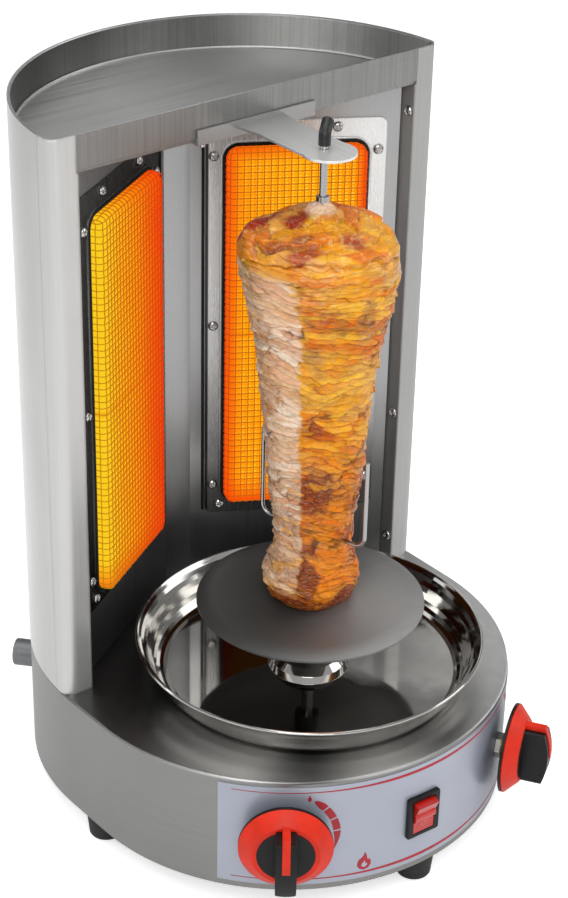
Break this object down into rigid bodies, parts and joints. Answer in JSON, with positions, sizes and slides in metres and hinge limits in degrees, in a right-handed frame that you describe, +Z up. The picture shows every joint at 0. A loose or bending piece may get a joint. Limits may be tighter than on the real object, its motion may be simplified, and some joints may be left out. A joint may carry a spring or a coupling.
{
  "type": "vertical rotisserie broiler",
  "caption": "Countertop gas kebab grill: stadium base with knobs and a switch, half-round hood over angled radiant burners, tray top, drip pan and a turning skewer with its meat.",
  "frame": {"origin": "on the floor, under the middle of the overall box; the skewer turns 41.9 mm in front of it", "axes": "+Z up along the skewer; -Y out of the front, towards the knobs; +X to the right seen from the front"},
  "size_m": [0.33, 0.3868, 0.534],
  "materials": {
    "base_steel": "brushed stainless, mid grey",
    "deck_steel": "polished stainless, reflects the dark surroundings",
    "foot_rubber": "black moulded rubber",
    "zinc_hardware": "zinc-plated steel",
    "overlay_film": "silver-blue satin film with printed lines and a dial",
    "black_plastic": "black moulded plastic",
    "red_rocker": "red translucent plastic",
    "red_plastic": "vermilion moulded plastic",
    "valve_brass": "turned brass",
    "bush_brass": "sintered bronze bush",
    "gas_pipe": "drawn aluminium gas tube",
    "inlet_metal": "die-cast grey metal",
    "burner_steel": "aluminised sheet",
    "glowing_tile": "perforated ceramic at red heat",
    "hot_gauze": "woven heat-resistant wire, glowing",
    "reflector_steel": "polished stainless",
    "bright_screws": "bright pan heads",
    "hood_steel": "stainless, brushed up and down",
    "tray_steel": "stainless, brushed sideways",
    "motor_paint": "grey enamel",
    "skewer_steel": "bright stainless bar",
    "plate_steel": "satin stainless disc",
    "roast_meat": "roasted sliced meat, browned and moist",
    "sleeve_rubber": "black dipped vinyl",
    "pan_steel": "mirror-polished stainless",
    "cord_rubber": "black flex",
    "terminal_plastic": "off-white thermoplastic"
  },
  "bodies": {
    "frame": {"base_deck": "deck_steel", "base_floor": "base_steel", "base_skirt": "base_steel", "bracket_screws": "bright_screws", "burner_box_left": "burner_steel", "burner_box_right": "burner_steel", "burner_frame_left": "reflector_steel", "burner_frame_right": "reflector_steel", "burner_gauze_left": "hot_gauze", "burner_gauze_right": "hot_gauze", "burner_pipes": "gas_pipe", "burner_screws": "bright_screws", "ceramic_tiles_left": "glowing_tile", "ceramic_tiles_right": "glowing_tile", "control_overlay": "overlay_film", "cord_gland": "black_plastic", "foot_screws": "zinc_hardware", "gas_inlet": "inlet_metal", "gas_manifold": "gas_pipe", "gas_valve_left": "valve_brass", "gas_valve_right": "valve_brass", "gear_motor": "motor_paint", "hood_post_left": "hood_steel", "hood_post_right": "hood_steel", "hood_screws": "bright_screws", "hood_shell": "hood_steel", "injectors": "valve_brass", "inner_reflector": "reflector_steel", "mixing_tubes": "burner_steel", "motor_bracket": "base_steel", "motor_screws": "zinc_hardware", "power_cord": "cord_rubber", "rubber_feet": "foot_rubber", "shaft_bush": "bush_brass", "skewer_bracket": "tray_steel", "switch_housing": "black_plastic", "terminal_block": "terminal_plastic", "top_tray": "tray_steel", "valve_nuts": "zinc_hardware", "wiring": "cord_rubber"},
    "drive": {"drive_shaft": "zinc_hardware", "drive_coupling": "bright_screws"},
    "skewer": {"skewer_rod": "skewer_steel", "plate_collar": "bright_screws", "meat_plate": "plate_steel", "meat_fork": "skewer_steel", "meat_stack": "roast_meat"},
    "lock_pin": {"lock_pin": "skewer_steel", "pin_sleeve": "sleeve_rubber"},
    "valve_left": {"valve_plug_left": "valve_brass"},
    "knob_left": {"valve_stem_left": "zinc_hardware", "knob_grip_left": "black_plastic", "knob_cone_left": "red_plastic"},
    "valve_right": {"valve_plug_right": "valve_brass"},
    "knob_right": {"valve_stem_right": "zinc_hardware", "knob_grip_right": "black_plastic", "knob_cone_right": "red_plastic"},
    "rocker": {"rocker": "red_rocker"},
    "drip_pan": {"drip_pan": "pan_steel"}
  },
  "joints": [
    {"name": "skewer_spin", "type": "hinge", "parent": "frame", "child": "drive", "pos_m": [0, -0.04187, 0.118], "axis": [0, 0, 1], "continuous": true},
    {"name": "skewer_lift", "type": "slide", "parent": "drive", "child": "skewer", "axis": [0, 0, 1], "range_m": [0, 0.007]},
    {"name": "pin_lift", "type": "slide", "parent": "frame", "child": "lock_pin", "axis": [0, 0, 1], "range_m": [0, 0.022]},
    {"name": "valve_turn_left", "type": "hinge", "parent": "frame", "child": "valve_left", "pos_m": [-0.10328, -0.14405, 0.067], "axis": [-0.6259, -0.7799, 0], "range_deg": [-120, 0]},
    {"name": "knob_push_left", "type": "slide", "parent": "valve_left", "child": "knob_left", "axis": [0.6259, 0.7799, 0], "range_m": [0, 0.003]},
    {"name": "valve_turn_right", "type": "hinge", "parent": "frame", "child": "valve_right", "pos_m": [0.08682, -0.15568, 0.067], "axis": [0.5262, -0.8504, 0], "range_deg": [-120, 0]},
    {"name": "knob_push_right", "type": "slide", "parent": "valve_right", "child": "knob_right", "axis": [-0.5262, 0.8504, 0], "range_m": [0, 0.003]},
    {"name": "switch_rock", "type": "hinge", "parent": "frame", "child": "rocker", "pos_m": [-0.00979, -0.18018, 0.066], "axis": [0.9982, -0.0593, 0], "range_deg": [-24, 0]},
    {"name": "pan_lift", "type": "slide", "parent": "frame", "child": "drip_pan", "axis": [0, 0, 1], "range_m": [0, 0.028]}
  ]
}
